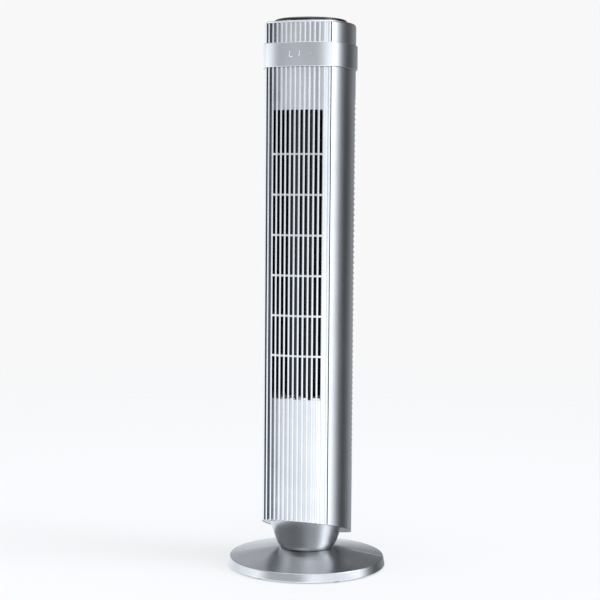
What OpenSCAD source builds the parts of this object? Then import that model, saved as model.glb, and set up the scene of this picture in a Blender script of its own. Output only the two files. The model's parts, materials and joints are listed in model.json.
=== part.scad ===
// Tower fan: a slim column with a ribbed front grille, turning on a round two-part base.
// Millimetres. +Z is up, the air leaves towards -Y, and the origin is on the floor under the base.

/* [Base] */
// Outer radius of the base at its lower edge
base_r = 150; // [140:1:160]
// Radius of the rim's upper edge
rim_r = 147.4; // [138:0.1:158]
// Height of the lower edge above the floor
skirt_z = 2.5; // [2:0.1:4]
// Height of the rim's upper edge
rim_z = 18; // [15:0.5:22]
// Height of the flat seat in the middle of the base
seat_z = 35; // [33:0.5:37]
// Radius of the flat seat
seat_r = 51; // [50:0.5:54]
// Angle between the base's own centre line and the column at rest, degrees
base_turn = 10; // [0:1:20]
// Distance of the seam between the base halves behind the centre
seam_y = 9.5; // [0:0.5:15]
// Number of rubber feet
foot_count = 6; // [4:1:8]

/* [Column outline] */
// Radius of the front arc
front_r = 190; // [180:1:200]
// Distance of the front face in front of the turning axis
front_y = 82; // [80:0.5:84]
// Radius of the side arcs
side_r = 129; // [126:0.5:132]
// Distance of each side arc's centre beyond the middle
side_cx = 45; // [43:0.5:47]
// Radius of the rear arc
rear_r = 100; // [96:1:104]
// Distance of the rear arc's centre in front of the axis
rear_cy = 10; // [8:0.5:12]
// Thickness of the plastic shells
wall = 2.5; // [2:0.1:3]

/* [Column height] */
// Height of the column's lower edge at the front
bottom_z = 100; // [96:1:104]
// Slope of the column's lower edge towards the back, degrees
bottom_slope = 18.4; // [16:0.1:20]
// Height of the top of the shells
shell_top = 1021; // [1015:1:1025]
// Lower edge of the collar band
band_z0 = 940.7; // [936:0.1:945]
// Upper edge of the collar band
band_z1 = 985.3; // [981:0.1:990]
// How far the collar band stands proud
band_proud = 3.1; // [2:0.1:4]

/* [Front grille] */
// Angle between neighbouring ribs, degrees
rib_step = 2.734; // [2.7:0.001:2.77]
// Width of a rib
rib_w = 3.4; // [3:0.1:4]
// Depth of the grooves between the ribs
groove_d = 5.4; // [3:0.1:5.4]
// Number of slots side by side
slot_count = 11; // [9:2:11]
// Lower end of the slots
grille_z0 = 327.6; // [320:0.1:335]
// Upper end of the slots
grille_z1 = 862.9; // [855:0.1:870]
// Height of the lowest cross bar
bar_z = 409.4; // [405:0.1:413]
// Distance between cross bars
bar_step = 74.5; // [73:0.1:76]
// Number of cross bars
bar_count = 6; // [4:1:6]
// Height of a cross bar
bar_h = 3.6; // [3:0.1:5]

/* [Rear grille] */
// Lower end of the slats
rear_z0 = 195; // [190:1:200]
// Distance between slats
slat_step = 10; // [9:0.5:11]
// Number of slats
slat_count = 69; // [60:1:69]
// Height of a slat
slat_h = 4.6; // [4:0.1:5.5]
// Distance of the grille's front edges behind the axis
rear_open_y = 16; // [14:0.5:18]

/* [Blower] */
// Radius of the blower wheel
wheel_r = 46; // [44:0.5:47]
// Distance of the wheel's axis behind the turning axis
wheel_y = 4; // [2:0.5:6]
// Number of blades
blade_count = 32; // [24:1:36]
// Number of wheel segments, one above the other
segment_count = 7; // [5:1:8]

/* [Swivel drive] */
// Teeth on the fixed gear
gear_teeth = 54; // [54:1:54]
// Teeth on the driving pinion
pinion_teeth = 18; // [18:1:18]
// Gear module
gear_module = 1.1; // [1.1:0.1:1.1]

/* [Hidden] */
$fn = 128;

silver = [0.74, 0.76, 0.79];
silver_dark = [0.60, 0.62, 0.65];
black = [0.03, 0.03, 0.035];
steel = [0.70, 0.71, 0.73];
copper = [0.72, 0.40, 0.20];
board_green = [0.05, 0.30, 0.16];

fit = 0.05;                                  // radial clearance of a running fit
gap = 0.3;                                   // clearance between neighbouring mouldings
front_cy = front_r - front_y;                // centre of the front arc
big = 400;
base_wall = 2.6;
seam_x = 62.3;                               // half width of the front shell
floor_r = front_r - groove_d;                // radius of the groove floors
front_wall = 1.8;
cap_top = shell_top + 3.5;
panel_r = 68.5;
panel_top = cap_top + 9;

spindle_r = 20;
spindle_top = 58;
gear_z0 = 45;
gear_z1 = 54;
pitch_gear = gear_teeth*gear_module/2;
pitch_pinion = pinion_teeth*gear_module/2;
drive_y = -(pitch_gear + pitch_pinion);      // the pinion's axis, in front of the spindle

motor_z0 = 214;                              // underside of the motor case
motor_z1 = 296;                              // top of the motor case
motor_r = 44;
deck_z = 205;                                // underside of the deck that carries the motor
upper_z = 872;                               // underside of the deck over the wheel
wheel_z0 = 330;
wheel_z1 = 862;
shaft_r = 4;

// ---------- shared shapes ----------

// The column's outline: where four discs overlap. off moves every arc outwards.
module outline(off = 0) {
    intersection() {
        translate([-side_cx, 0]) circle(side_r + off);
        translate([side_cx, 0]) circle(side_r + off);
        translate([0, front_cy]) circle(front_r + off);
        translate([0, -rear_cy]) circle(rear_r + off);
    }
}

// A round slab with a bevel of size b on both rims.
module bevelled_disc(r, h, b0, b1) {
    rotate_extrude()
        polygon([[0, 0], [r - b0, 0], [r, b0], [r, h - b1], [r - b1, h], [0, h]]);
}

// The column's outline as a slab with bevelled rims.
module bevelled_slab(off, h, b0, b1) {
    intersection() {
        translate([-side_cx, 0]) bevelled_disc(side_r + off, h, b0, b1);
        translate([side_cx, 0]) bevelled_disc(side_r + off, h, b0, b1);
        translate([0, front_cy]) bevelled_disc(front_r + off, h, b0, b1);
        translate([0, -rear_cy]) bevelled_disc(rear_r + off, h, b0, b1);
    }
}

// Everything under the column's sloping lower edge, raised by lift.
module below_slope(lift = 0) {
    translate([0, -front_y, bottom_z + lift]) rotate([-bottom_slope, 0, 0])
        translate([-big/2, -big/2, -big]) cube([big, big*1.5, big]);
}

module ring(r_out, r_in, h) {
    difference() {
        cylinder(r = r_out, h = h);
        translate([0, 0, -1]) cylinder(r = r_in, h = h + 2);
    }
}

// A screw standing on its head at z = 0, shank upwards.
module screw(head_r, head_h, shank_r, length) {
    difference() {
        union() {
            cylinder(r = head_r, h = head_h, $fn = 32);
            cylinder(r = shank_r, h = head_h + length, $fn = 32);
        }
        for (a = [0, 90]) rotate(a)
            translate([-head_r*0.6, -0.5, -1]) cube([head_r*1.2, 1, 1 + head_h*0.5]);
    }
}

module ring_of(count, r, start = 0) {
    for (i = [0:count - 1]) rotate(start + i*360/count) translate([r, 0, 0]) children();
}

// Puts its children on the front arc at a number of rib steps from the middle.
module on_front(step) {
    translate([0, front_cy, 0]) rotate(step*rib_step) translate([0, -front_r, 0]) children();
}

// ---------- gears ----------

// Involute function, degrees in and degrees out.
function inv(a) = tan(a)*180/PI - a;
pressure = 20;

// Half the angle that a tooth fills at radius r.
function tooth_half(r, rp, n, slack) =
    let (rb = rp*cos(pressure))
    90/n - slack/rp*180/PI/2 + inv(pressure) - (r > rb ? inv(acos(rb/r)) : 0);

module gear_outline(n, m, slack) {
    rp = n*m/2;
    r_root = rp - 1.2*m;
    r_tip = rp + 0.9*m;
    r_base = max(r_root + 0.01, rp*cos(pressure));
    radii = concat([r_root], [for (i = [0:5]) r_base + (r_tip - r_base)*i/5]);
    polygon([for (k = [0:n - 1]) each concat(
        [for (r = radii) r*[cos(k*360/n - tooth_half(r, rp, n, slack)),
                            sin(k*360/n - tooth_half(r, rp, n, slack))]],
        [for (i = [len(radii) - 1:-1:0]) let (r = radii[i])
            r*[cos(k*360/n + tooth_half(r, rp, n, slack)),
               sin(k*360/n + tooth_half(r, rp, n, slack))]])]);
}

// ---------- base ----------

seat_hole_r = spindle_r + 0.6;

module base_profile() {
    under = base_wall;
    polygon([
        [base_r - under, skirt_z], [base_r, skirt_z], [base_r - 0.3, skirt_z + 2],
        [rim_r + 0.9, rim_z - 0.9], [rim_r, rim_z], [seat_r, seat_z], [seat_hole_r, seat_z],
        [seat_hole_r, seat_z - under], [seat_r + 0.5, seat_z - under],
        [rim_r - under + 0.3, rim_z - under], [base_r - under - 0.4, skirt_z + 2]]);
}

// A stiffening rib under the base, running outwards.
module base_rib() {
    rotate([90, 0, 0]) translate([0, 0, -1]) linear_extrude(2)
        polygon([[58, 9], [138, 9], [143, 12], [143, 17], [58, 32.2]]);
}

// Screw bosses that carry the ballast ring.
boss_r = 96;

module base_shell() {
    rotate_extrude() base_profile();
    for (a = [20:40:340]) rotate(a) base_rib();
    for (a = [0:60:300]) rotate(a) translate([boss_r, 0, 8.2]) cylinder(r = 5, h = 17.5);
}

module base_half(side) {
    rotate(base_turn) difference() {
        base_shell();
        translate([-big/2, side > 0 ? seam_y - big + 0.1 : seam_y - 0.1, -1]) cube([big, big, 60]);
        for (a = [45:90:315]) rotate(a) translate([40, 0, 30]) cylinder(r = 1.7, h = 4);
        for (a = [0:60:300]) rotate(a) translate([boss_r, 0, 7]) cylinder(r = 1.7, h = 13);
    }
}

module base_front() { color(silver) base_half(-1); }
module base_rear() { color(silver) base_half(1); }

module ballast_ring() {
    color(steel) rotate(base_turn) translate([0, 0, 5]) difference() {
        ring(128, 62, 3);
        for (a = [0:60:300]) rotate(a) translate([boss_r, 0, -1]) cylinder(r = 2.3, h = 6);
    }
}

module base_screws() {
    color(steel) rotate(base_turn) ring_of(6, boss_r) translate([0, 0, 3]) screw(4.5, 2, 1.6, 14);
}

module foot() {
    rotate_extrude() polygon([[0, 0], [7.5, 0], [9, 1.2], [9, 3], [6, 3], [6, 5.4], [0, 5.4]]);
}

module base_feet() {
    color(black) rotate(base_turn) ring_of(foot_count, 137.5, 0) foot();
}

module spindle_screws() {
    color(steel) rotate(base_turn) ring_of(4, 40, 45) translate([0, 0, 26.2]) screw(3.6, 2.6, 1.6, 4.6);
}

module swivel_spindle() {
    color(steel) difference() {
        union() {
            translate([0, 0, 28.8]) cylinder(r = 50, h = 3.4);
            translate([0, 0, 28.8]) cylinder(r = spindle_r, h = spindle_top - 28.8);
        }
        translate([0, 0, 20]) cylinder(r = 15.5, h = 60);
        translate([0, 0, gear_z1]) difference() {
            cylinder(r = spindle_r + 1, h = 1.7);
            cylinder(r = spindle_r - 1.2, h = 1.7);
        }
        rotate(base_turn) ring_of(4, 40, 45) cylinder(r = 1.8, h = 60);
    }
}

module slip_washer() {
    color([0.9, 0.9, 0.88]) translate([0, 0, seat_z]) ring(46, 24, 0.5);
}

module fixed_gear() {
    color([0.88, 0.88, 0.84]) translate([0, 0, gear_z0]) difference() {
        linear_extrude(gear_z1 - gear_z0) rotate(-90) gear_outline(gear_teeth, gear_module, 0.12);
        translate([0, 0, -1]) cylinder(r = spindle_r + fit, h = 20);
        for (a = [0:60:300]) rotate(a) translate([25, 0, gear_z1 - gear_z0 - 3]) cylinder(r = 2, h = 4);
    }
}

module retaining_ring() {
    color(steel) translate([0, 0, gear_z1 + 0.1]) difference() {
        ring(24, spindle_r - 1.1, 1.5);
        translate([0, -4, -1]) cube([30, 8, 4]);
    }
}

// ---------- swivel drive, carried by the column ----------

neck_z = 35.7;                               // underside of the neck
neck_arc_r = 36;                             // rounding at the foot of the neck
neck_angle = 19.3;                           // slope of the neck's wall from the vertical
neck_arc_cx = 24.5;
neck_arc_cz = 60.9;
neck_wall = 2.6;

function neck_arc(r, a) = [neck_arc_cx + r*cos(a), neck_arc_cz + r*sin(a)];
// A point on the straight part of the neck's wall, h above its start.
function neck_line(r, h) = neck_arc(r, -neck_angle) + h*[tan(neck_angle), 1];

module neck_outer(inset) {
    r = neck_arc_r - inset;
    low = max(-60, asin((neck_z - neck_arc_cz)/neck_arc_r));
    rotate_extrude() polygon(concat(
        [[0, neck_arc(r, low)[1]]],
        [for (i = [0:6]) neck_arc(r, low + (-neck_angle - low)*i/6)],
        [neck_line(r, 70), [0, neck_line(r, 70)[1]]]));
}

module neck_cone() {
    color(silver) difference() {
        intersection() {
            neck_outer(0);
            below_slope(0.6);
        }
        intersection() {
            neck_outer(neck_wall);
            translate([-big/2, -big/2, 39]) cube([big, big, big]);
        }
        translate([0, 0, 30]) cylinder(r = 24.2, h = 20);
        // room for the front shell's edge
        difference() {
            translate([0, front_cy, neck_z]) ring(floor_r + 1, floor_r - front_wall - 0.1, 80);
            below_slope(-0.1);
        }
    }
}

module swivel_bush() {
    color([0.9, 0.9, 0.88]) difference() {
        union() {
            translate([0, 0, 35.8]) cylinder(r = 24, h = 6);
            translate([0, 0, 41.6]) cylinder(r = 28, h = 2.4);
        }
        translate([0, 0, 30]) cylinder(r = spindle_r + fit, h = 20);
    }
}

post_x = 22;
post_y = -38.5;

module swivel_plate() {
    color(steel) difference() {
        translate([0, 0, 39]) cylinder(r = 47, h = 2.5);
        translate([0, 0, 30]) cylinder(r = 24.1, h = 20);
        ring_of(4, 38, 0) cylinder(r = 1.7, h = 60);
    }
}

module osc_bracket() {
    color(steel) difference() {
        union() {
            for (s = [-1, 1]) translate([s*post_x, post_y, 41.5]) cylinder(r = 2.8, h = 18);
            translate([-post_x - 4, post_y - 12, 57.5]) cube([2*post_x + 8, 22, 2]);
        }
        translate([0, drive_y, 50]) cylinder(r = 6.2, h = 20);
        for (s = [-1, 1]) translate([s*post_x, post_y, 50]) cylinder(r = 1.3, h = 20);
    }
}

module osc_motor() {
    color([0.75, 0.75, 0.72]) difference() {
        union() {
            translate([0, drive_y, 59.5]) cylinder(r = 17.5, h = 20);
            translate([0, drive_y, 57]) cylinder(r = 6, h = 3);
            translate([-post_x - 3, drive_y - 3, 59.5]) cube([2*post_x + 6, 6, 1]);
            translate([-7, drive_y + 14, 62]) cube([14, 6, 14]);
        }
        translate([0, drive_y, 50]) cylinder(r = 2 + fit, h = 22);
        for (s = [-1, 1]) translate([s*post_x, post_y, 50]) cylinder(r = 1.3, h = 20);
    }
}

module pinion() {
    color([0.88, 0.88, 0.84]) translate([0, drive_y, gear_z0]) difference() {
        union() {
            linear_extrude(gear_z1 - gear_z0) rotate(90 + 180/pinion_teeth)
                gear_outline(pinion_teeth, gear_module, 0.12);
            cylinder(r = 5, h = 11);
        }
        translate([0, 0, -1]) cylinder(r = 2, h = 20);
    }
}

module pinion_shaft() {
    color(steel) translate([0, drive_y, gear_z0 - 1]) cylinder(r = 2, h = 24);
}

// ---------- column: shells ----------

lip_y = -63;

// Lips of the rear shell behind the front shell's edges.
module lips(grow = 0) {
    for (s = [-1, 1]) translate([s*60 - 6 - grow, lip_y - grow]) square([12 + 2*grow, 2 + 2*grow]);
}

// The room inside the shells, with a clearance all round.
module inner_plan(clear = gap) {
    difference() {
        intersection() {
            outline(-wall - clear);
            translate([0, front_cy]) circle(floor_r - front_wall - clear, $fn = 256);
        }
        lips(clear);
        for (s = [-1, 1]) translate([s*70 - 20, -120]) square([40, 56]);
    }
}

module bottom_cover() {
    color(silver_dark) difference() {
        intersection() {
            translate([0, 0, 20]) linear_extrude(120) inner_plan();
            difference() {
                below_slope(3.8);
                below_slope(0.65);
            }
        }
        translate([0, 0, 20]) cylinder(r = 46, h = 120);
        for (a = [45:90:315]) rotate(a) translate([53, 0, 20]) cylinder(r = 1.8, h = 120);
    }
}

// Screws from inside the column down into the neck's rim.
module neck_screws() {
    color(steel) for (a = [45:90:315]) rotate(a) translate([53, 0, 0])
        translate([0, 0, bottom_z + 4.2 - (front_y + 53*sin(a))*tan(bottom_slope) + 3.4])
            rotate([180, 0, 0]) screw(3.4, 2.2, 1.6, 4);
}

// Ribs of the front shell. They run the whole height, with rounded fronts and thinner backs.
rib_nose_r = 2.2;
rib_back_w = 1.8;
rib_back_y = groove_d + front_wall - 0.4;

module front_ribs() {
    for (i = [-7:6]) on_front(i + 0.5) intersection() {
        polygon([[-rib_w/2, -1], [rib_w/2, -1], [rib_w/2, groove_d - 0.4], [rib_back_w/2, rib_back_y],
                 [-rib_back_w/2, rib_back_y], [-rib_w/2, groove_d - 0.4]]);
        translate([0, rib_nose_r]) union() {
            circle(rib_nose_r, $fn = 48);
            translate([-rib_w, 0.3]) square([2*rib_w, 10]);
        }
    }
}

// The floor of the grooves, an arc between the two seams.
module front_floor() {
    intersection() {
        difference() {
            translate([0, front_cy]) circle(floor_r, $fn = 256);
            translate([0, front_cy]) circle(floor_r - front_wall, $fn = 256);
        }
        translate([-seam_x, -front_y - 5]) square([2*seam_x, 60]);
    }
}

// Openings of the grille between the cross bars. The ribs run through them.
module grille_windows() {
    half = slot_count/2*rib_step;
    reach = 12;
    levels = concat([grille_z0 - bar_h/2], [for (k = [0:bar_count - 1]) bar_z + k*bar_step],
                    [grille_z1 + bar_h/2]);
    for (k = [0:bar_count])
        translate([0, front_cy, levels[k] + bar_h/2])
            rotate(-90 - half) rotate_extrude(angle = 2*half)
                translate([front_r - reach, 0]) square([reach + 5, levels[k + 1] - levels[k] - bar_h]);
}

// Cross bars stand almost as far out as the ribs.
module cross_bars() {
    half = slot_count/2*rib_step;
    for (k = [0:bar_count - 1]) translate([0, front_cy, bar_z + k*bar_step - bar_h/2])
        rotate(-90 - half) rotate_extrude(angle = 2*half)
            translate([floor_r - front_wall + 0.4, 0]) square([groove_d + front_wall - 0.9, bar_h]);
}

vent_r = 1.2;
vent_step = 5.7;
vent_z = 912.6;

// Small holes in three grooves on the left, over the buzzer.
module vent_holes() {
    for (col = [0:2]) for (k = [0:5])
        if (col == 0 ? k > 0 : k > col)
            on_front(-6 + col) translate([0, -1, vent_z - 2 - k*vent_step])
                rotate([-90, 0, 0]) cylinder(r = vent_r, h = 12, $fn = 16);
    on_front(-6) translate([0, -1, vent_z]) rotate([-90, 0, 0]) cylinder(r = vent_r, h = 12, $fn = 16);
}

display_z = 964;
display_w = 56;
display_h = 26;

module front_shell() {
    color(silver) difference() {
        union() {
            difference() {
                linear_extrude(shell_top) front_floor();
                grille_windows();
            }
            linear_extrude(shell_top) front_ribs();
            cross_bars();
        }
        below_slope();
        vent_holes();
        translate([-display_w/2 - gap, -front_y - 2, display_z - display_h/2 - gap])
            cube([display_w + 2*gap, 20, display_h + 2*gap]);
    }
}

stay_w = 5;
stay_depth = 5;
stay_reach = 8;                              // how far the stay laps the panel above and below the slots

// A dark stay behind the middle slot. It keeps the ribs from bowing.
module grille_stay() {
    color(black) intersection() {
        translate([0, front_cy, grille_z0 - stay_reach])
            ring(floor_r - front_wall, floor_r - front_wall - stay_depth, grille_z1 - grille_z0 + 2*stay_reach);
        translate([-stay_w/2, -front_y, 0]) cube([stay_w, 20, shell_top]);
    }
}

module rear_plan() {
    difference() {
        outline(0);
        outline(-wall);
        translate([-seam_x - gap, -front_y - 5]) square([2*(seam_x + gap), 60]);
    }
    lips();
}

rear_z1 = rear_z0 + slat_count*slat_step;

module rear_shell() {
    color(silver) difference() {
        linear_extrude(shell_top) rear_plan();
        below_slope();
        translate([-big/2, rear_open_y, rear_z0 - 3]) cube([big, big, rear_z1 - rear_z0 + 6]);
        translate([0, 70, 130]) rotate([-90, 0, 0]) cylinder(r = 7.2, h = 40);
    }
}

module slat_ring(off_out, off_in) {
    difference() {
        intersection() {
            outline(off_out);
            translate([-big/2, rear_open_y + gap]) square([big, big]);
        }
        outline(off_in);
    }
}

grille_rib_x = [-60, -40, -20, 0, 20, 40, 60];

module rear_grille() {
    color(silver) {
        for (k = [0:slat_count - 1])
            translate([0, 0, rear_z0 + k*slat_step + (slat_step - slat_h)/2])
                linear_extrude(slat_h) slat_ring(0, -2.2);
        // upper and lower frame
        for (z = [rear_z0 - 2.7, rear_z1]) translate([0, 0, z]) linear_extrude(2.7) slat_ring(0, -2.2);
        // uprights behind the slats
        translate([0, 0, rear_z0 - 2.7]) linear_extrude(rear_z1 - rear_z0 + 5.4) {
            intersection() {
                slat_ring(-2.1, -4.6);
                union() {
                    for (x = grille_rib_x) translate([x - 1.2, 0]) square([2.4, big]);
                    for (s = [-1, 1]) translate([s*80 - 6, rear_open_y + gap]) square([12, 2.4]);
                    for (s = [-1, 1]) translate([s*80 - 10, 48]) square([20, 2.4]);
                }
            }
        }
    }
}

digit_h = 11;
digit_w = 6.4;
segment_w = 1.3;
lens_r = front_r + band_proud;

// One seven-segment digit, as slabs along Y; lit holds the letters of the lit segments.
module digit(lit, grow = 0) {
    t = segment_w + 2*grow;
    long = digit_h/2 - segment_w*0.5 - 0.5 + 2*grow;
    for (s = lit) {
        if (s == "b" || s == "c" || s == "e" || s == "f")
            translate([s == "b" || s == "c" ? digit_w/2 : -digit_w/2, 0,
                       s == "b" || s == "f" ? digit_h/4 : -digit_h/4]) cube([t, 20, long], center = true);
        if (s == "a" || s == "d" || s == "g")
            translate([0, 0, s == "a" ? digit_h/2 : s == "d" ? -digit_h/2 : 0])
                cube([digit_w - segment_w - 0.6 + 2*grow, 20, t], center = true);
    }
}

// Everything that shines through the band: two digits and two small dots.
module lit_marks(grow = 0) {
    translate([0, -front_y - band_proud, display_z]) {
        translate([-11, 0, 0]) digit(["d", "e", "f"], grow);
        translate([1.2, 0, 0.6]) digit(["b", "c"], grow);
        for (x = [-26, 26]) translate([x, -10, 0]) rotate([-90, 0, 0])
            cylinder(r = 1.1 + grow, h = 20, $fn = 24);
    }
}

module collar_band() {
    color(silver) difference() {
        translate([0, 0, band_z0]) bevelled_slab(band_proud, band_z1 - band_z0, 1, 1);
        translate([0, 0, band_z0 - 1]) linear_extrude(band_z1 - band_z0 + 2) outline(0.1);
        lit_marks(0.05);
    }
}

module front_sector(r_out, r_in, w, z0, h) {
    intersection() {
        translate([0, front_cy, z0]) ring(r_out, r_in, h);
        translate([-w/2, -front_y - 10, z0 - 1]) cube([w, 40, h + 2]);
    }
}

module display_light_guide() {
    color([0.85, 0.9, 1]) {
        front_sector(front_r, front_r - 3.4, display_w, display_z - display_h/2, display_h);
        intersection() {
            front_sector(lens_r - 0.02, front_r - 1, display_w, display_z - 10, 20);
            lit_marks();
        }
    }
}

board_y = -75.6;

module display_board() {
    color(board_green) translate([-27.5, board_y, display_z - 12.5]) cube([55, 1.6, 25]);
}

module display_leds() {
    color([0.95, 0.95, 0.9]) for (x = [-11, 2.2, -22, 22]) for (z = [-3, 3])
        translate([x - 1.4, board_y - 0.8, display_z + z - 1]) cube([2.8, 0.8, 2]);
}

module ir_receiver() {
    color(black) translate([0, board_y - 1.6, display_z - 9]) intersection() {
        translate([-3, 0, -3]) cube([6, 1.6, 6]);
        translate([0, 3.8, -4]) cylinder(r = 4, h = 8);
    }
}

// ---------- column: top ----------

module top_cap() {
    color(silver) difference() {
        union() {
            translate([0, 0, shell_top]) bevelled_slab(-1, cap_top - shell_top, 0.01, 1.2);
            translate([0, 0, shell_top - 9]) linear_extrude(9.5) inner_plan(1);
        }
        translate([0, 0, shell_top - 12]) linear_extrude(12) inner_plan(3);
        translate([0, 0, shell_top - 20]) cylinder(r = 58, h = 60);
        translate([0, 0, cap_top - 2]) cylinder(r = panel_r + 0.2, h = 10);
    }
}

// A shallow dish, open underneath, with a rounded rim and a slight crown.
panel_t = 3;

module touch_panel() {
    z0 = cap_top - 2;
    h = panel_top - z0;
    color(black) translate([0, 0, z0]) rotate_extrude() polygon(concat(
        [[0, h - panel_t], [panel_r - 4.5, h - panel_t - 0.6], [panel_r - 4.5, 0],
         [panel_r - 0.8, 0], [panel_r, 0.8], [panel_r, h - 5]],
        [for (a = [15:15:75]) [panel_r - 4 + 4*cos(a), h - 5 + 4*sin(a)]],
        [[panel_r - 4, h - 1], [panel_r - 10, h - 0.6], [panel_r - 30, h - 0.15], [0, h]]));
}

module control_board() {
    color(board_green) translate([0, 0, 1004]) difference() {
        cylinder(r = 54, h = 1.6);
        ring_of(4, 48, 45) translate([0, 0, -1]) cylinder(r = 1.7, h = 4);
    }
}

module touch_springs() {
    color(steel) ring_of(5, 36, 90) translate([0, 0, 1005.6])
        ring(4, 3.2, panel_top - panel_t - 1 - 1005.6);
}

module buzzer() {
    color(black) on_front(-5) translate([0, groove_d + front_wall + 1, vent_z - 17])
        rotate([-90, 0, 0]) difference() {
            cylinder(r = 8, h = 8);
            translate([0, 0, -1]) cylinder(r = 1, h = 5);
        }
}

// ---------- column: air path ----------

// A wall that follows a spiral round the wheel, from angle a0 to a1.
function spiral(r0, r1, a0, a1, a) = r0 + (r1 - r0)*(a - a0)/(a1 - a0);

module spiral_wall(r0, r1, a0, a1, t) {
    steps = 20;
    angles = [for (i = [0:steps]) a0 + (a1 - a0)*i/steps];
    translate([0, wheel_y]) polygon(concat(
        [for (a = angles) spiral(r0, r1, a0, a1, a)*[cos(a), sin(a)]],
        [for (i = [steps:-1:0]) let (a = angles[i])
            (spiral(r0, r1, a0, a1, a) + t)*[cos(a), sin(a)]]));
}

air_z0 = 318;
air_z1 = upper_z;

module air_scroll() {
    color(silver_dark) translate([0, 0, air_z0]) linear_extrude(air_z1 - air_z0) {
        spiral_wall(51, 62, 105, 215, 2);
        translate([-53.4, -65]) square([2, 36]);
    }
}

module vortex_tongue() {
    color(silver_dark) translate([0, 0, air_z0]) linear_extrude(air_z1 - air_z0) {
        translate([44.5, -27]) circle(3, $fn = 32);
        translate([44, -65]) square([2, 38]);
        translate([44.5, -29]) rotate(18) square([28, 2]);
    }
}

deck_lug = [[-58, -30], [58, -30], [-58, 42], [58, 42]];

module deck_plan() {
    inner_plan(2.6);
}

module motor_deck() {
    color(silver_dark) difference() {
        union() {
            translate([0, 0, deck_z]) linear_extrude(4) deck_plan();
            translate([0, wheel_y, deck_z]) ring(50, 46, 12);
        }
        translate([0, wheel_y, deck_z - 1]) cylinder(r = 14, h = 20);
        for (p = deck_lug) translate([p[0], p[1], deck_z - 1]) cylinder(r = 2, h = 8);
        translate([0, wheel_y, deck_z - 1]) ring_of(3, 33, 90) cylinder(r = 4, h = 20);
        translate([-68, -24, deck_z - 1]) cube([8, 10, 8]);
    }
}

module upper_deck() {
    color(silver_dark) difference() {
        union() {
            translate([0, 0, upper_z]) linear_extrude(3) deck_plan();
            translate([0, wheel_y, upper_z]) cylinder(r = 14, h = 14);
        }
        translate([0, wheel_y, upper_z - 1]) cylinder(r = 8, h = 30);
        for (p = deck_lug) translate([p[0], p[1], upper_z - 1]) cylinder(r = 2, h = 8);
        translate([-68, -24, upper_z - 1]) cube([8, 10, 8]);
    }
}

module deck_screws() {
    color(steel) for (p = deck_lug) {
        translate([p[0], p[1], deck_z - 2.5]) screw(4, 2.5, 1.9, 14);
        translate([p[0], p[1], upper_z + 5.5]) rotate([180, 0, 0]) screw(4, 2.5, 1.9, 2.8);
    }
}

module top_bush() {
    color([0.75, 0.6, 0.3]) translate([0, wheel_y, upper_z]) ring(7.95, shaft_r + fit, 13);
}

// ---------- fan motor ----------

module motor_mounts() {
    color(black) translate([0, wheel_y, 0]) ring_of(3, 33, 90) translate([0, 0, deck_z - 1.5])
        difference() {
            union() {
                cylinder(r = 3.9, h = 10.5);
                cylinder(r = 6.5, h = 1.4);
                translate([0, 0, 5.6]) cylinder(r = 6.5, h = 4.9);
            }
            translate([0, 0, -1]) cylinder(r = 1.9, h = 14);
        }
}

motor_mid = (motor_z0 + motor_z1)/2;

module motor_case_lower() {
    color(steel) translate([0, wheel_y, 0]) difference() {
        translate([0, 0, motor_z0]) cylinder(r = motor_r, h = motor_mid - motor_z0 - 0.1);
        translate([0, 0, motor_z0 + 2]) cylinder(r = motor_r - 2, h = 60);
        translate([0, 0, motor_z0 - 1]) cylinder(r = 8, h = 10);
        ring_of(3, 33, 90) translate([0, 0, motor_z0 - 1]) cylinder(r = 1.9, h = 10);
        ring_of(8, motor_r, 22.5) translate([0, 0, motor_z0 + 12])
            rotate([0, 90, 0]) translate([0, 0, -6]) cylinder(r = 3, h = 12);
    }
}

module motor_case_upper() {
    color(steel) translate([0, wheel_y, 0]) difference() {
        translate([0, 0, motor_mid + 0.1]) cylinder(r = motor_r, h = motor_z1 - motor_mid - 0.1);
        translate([0, 0, motor_mid - 10]) cylinder(r = motor_r - 2, h = motor_z1 - motor_mid + 8);
        translate([0, 0, motor_z1 - 5]) cylinder(r = 8, h = 10);
        ring_of(8, motor_r, 22.5) translate([0, 0, motor_z1 - 12])
            rotate([0, 90, 0]) translate([0, 0, -6]) cylinder(r = 3, h = 12);
    }
}

module motor_screws() {
    color(steel) translate([0, wheel_y, 0]) ring_of(3, 33, 90)
        translate([0, 0, deck_z - 4]) screw(4, 2.4, 1.8, 14);
}

module stator_core() {
    color(steel) translate([0, wheel_y, motor_mid - 16]) difference() {
        cylinder(r = motor_r - 2.1, h = 32);
        translate([0, 0, -1]) cylinder(r = 23, h = 34);
        ring_of(12, 28, 0) translate([0, 0, -1]) cylinder(r = 3.4, h = 34);
    }
}

module stator_windings() {
    color(copper) translate([0, wheel_y, 0]) for (z = [motor_mid - 27, motor_mid + 16.1])
        translate([0, 0, z]) rotate_extrude() translate([24, 0]) union() {
            translate([0, 2]) square([14, 7]);
            translate([2, 0]) square([10, 10.8]);
        }
}

module motor_bushes() {
    color([0.75, 0.6, 0.3]) translate([0, wheel_y, 0]) for (z = [motor_z0 - 1, motor_z1 - 7])
        translate([0, 0, z]) ring(7.9, shaft_r + fit, 8);
}

module motor_shaft() {
    color(steel) translate([0, wheel_y, motor_z0 - 4]) cylinder(r = shaft_r, h = 346 - motor_z0 + 4);
}

module motor_rotor() {
    color([0.8, 0.8, 0.82]) translate([0, wheel_y, motor_mid - 17]) difference() {
        union() {
            cylinder(r = 22.5, h = 34);
            translate([0, 0, -4]) ring(21, 16, 42);
        }
        translate([0, 0, -10]) cylinder(r = shaft_r, h = 60);
    }
}

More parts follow.
